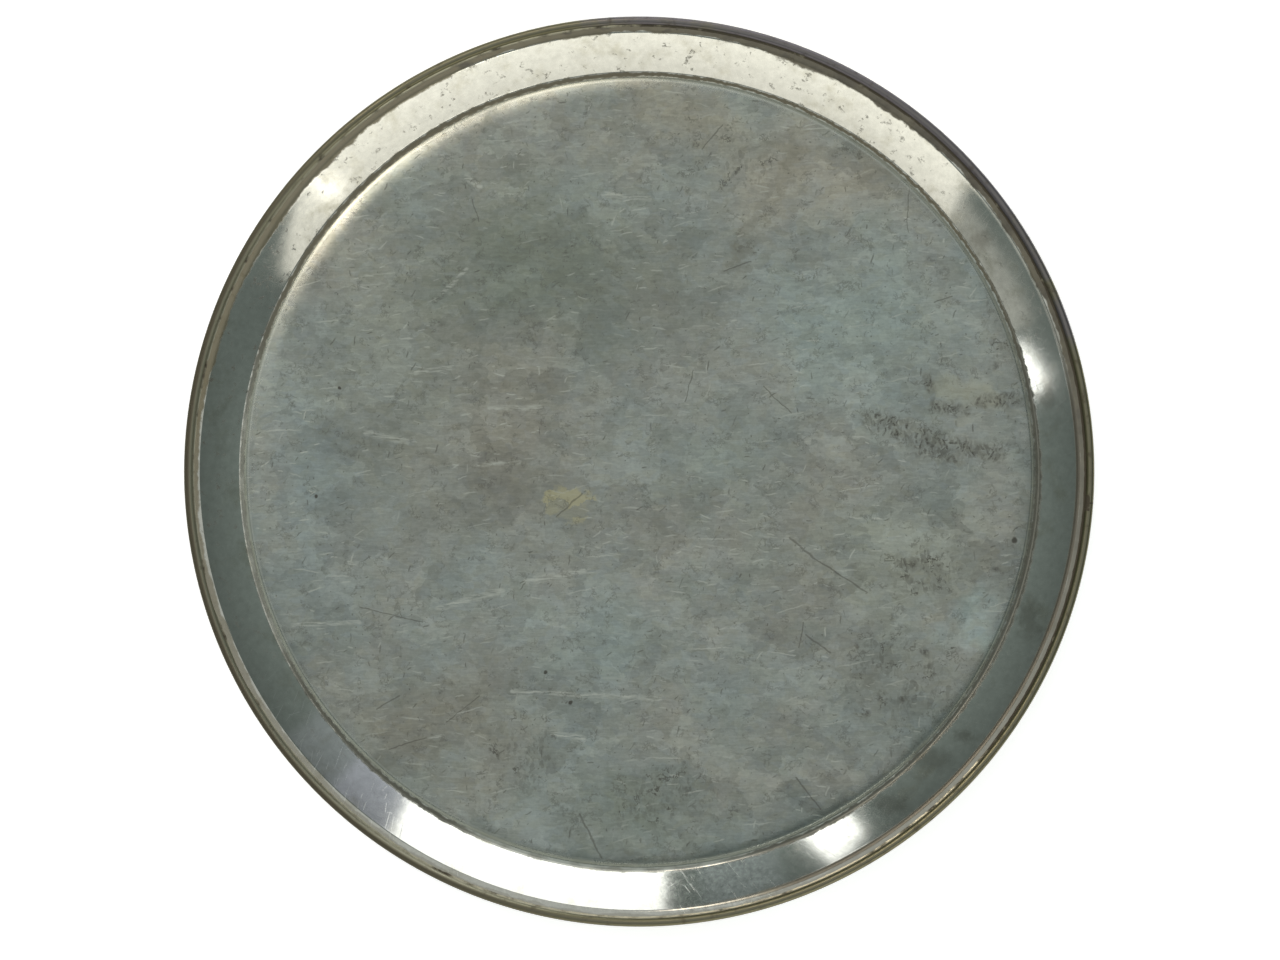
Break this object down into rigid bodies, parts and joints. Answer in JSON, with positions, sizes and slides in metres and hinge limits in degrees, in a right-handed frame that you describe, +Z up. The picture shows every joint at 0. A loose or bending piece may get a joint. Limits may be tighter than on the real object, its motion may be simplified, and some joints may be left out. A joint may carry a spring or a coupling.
{
  "type": "paten plate",
  "caption": "Shallow round metal plate with a flat floor inside a narrow groove, a sloping wall and a ledge edged by a half-round wire rim, for holding altar bread.",
  "frame": {"origin": "middle of the ring under the groove, which is what the plate stands on", "axes": "+Z up, out of the well; +X and +Y lie in the plane of the floor, and the plate is round"},
  "size_m": [0.16, 0.16, 0.0069],
  "materials": {
    "plated_sheet": "worn silver plate on pressed brass sheet, dulled and finely scratched on the floor, polished on the wall",
    "plated_wire": "worn silver plate on half-round brass wire, tarnished",
    "solder": "soft solder, uneven, dark with dirt"
  },
  "bodies": {
    "root": {"dish": "plated_sheet", "rim_wire": "plated_wire", "seam_solder": "solder", "joint_solder": "solder"}
  },
  "joints": []
}
